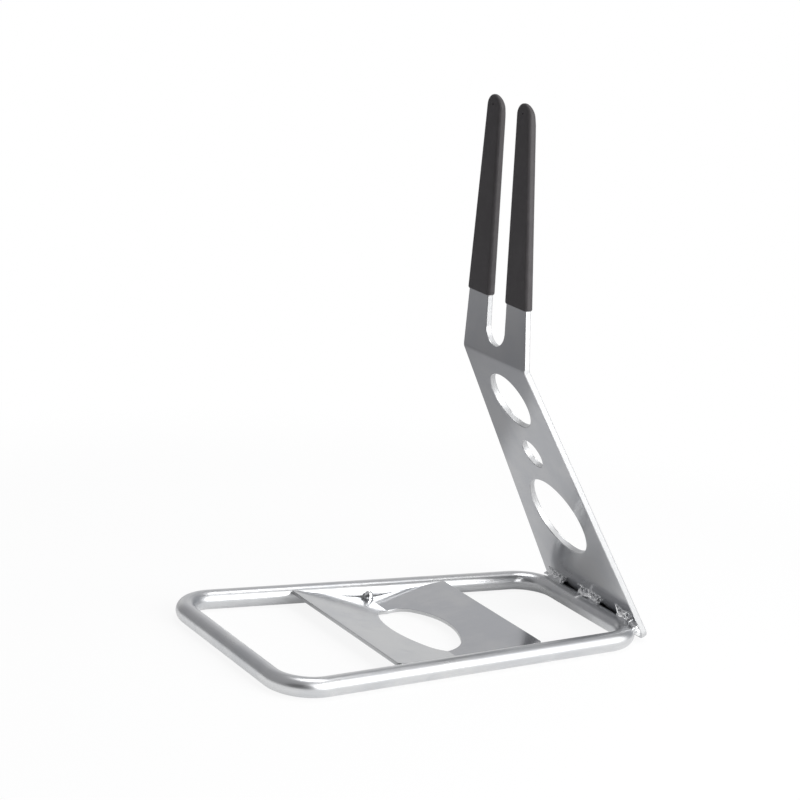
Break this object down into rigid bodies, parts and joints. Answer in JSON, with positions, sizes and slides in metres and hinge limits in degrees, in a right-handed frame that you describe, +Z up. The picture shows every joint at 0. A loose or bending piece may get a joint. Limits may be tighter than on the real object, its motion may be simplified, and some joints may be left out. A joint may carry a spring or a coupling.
{
  "type": "bicycle wheel stand",
  "caption": "Floor stand that holds a bicycle wheel upright: bent tube loop, shallow folded tyre trough with an oval opening, and a leaning folded plate ending in a sleeved axle fork.",
  "frame": {"origin": "on the floor, under the middle of the stand's overall length and width", "axes": "+X along the base towards the foot of the upright plate, +Z up, +Y across the stand along the tyre trough's fold"},
  "size_m": [0.3636, 0.2174, 0.4398],
  "materials": {
    "tube": "bright zinc plate, glossy",
    "sheet": "bright zinc plate, satin gloss",
    "weld": "zinc plated weld metal, rippled",
    "sleeve": "soft black, matt"
  },
  "bodies": {
    "root": {"base_frame": "tube", "upright_plate": "sheet", "trough_plate": "sheet", "sleeve_far": "sleeve", "sleeve_near": "sleeve", "weld_upright_far": "weld", "weld_upright_middle": "weld", "weld_upright_near": "weld", "weld_upright_corner": "weld", "weld_trough_far": "weld", "weld_trough_near": "weld", "weld_trough_corners": "weld"}
  },
  "joints": []
}
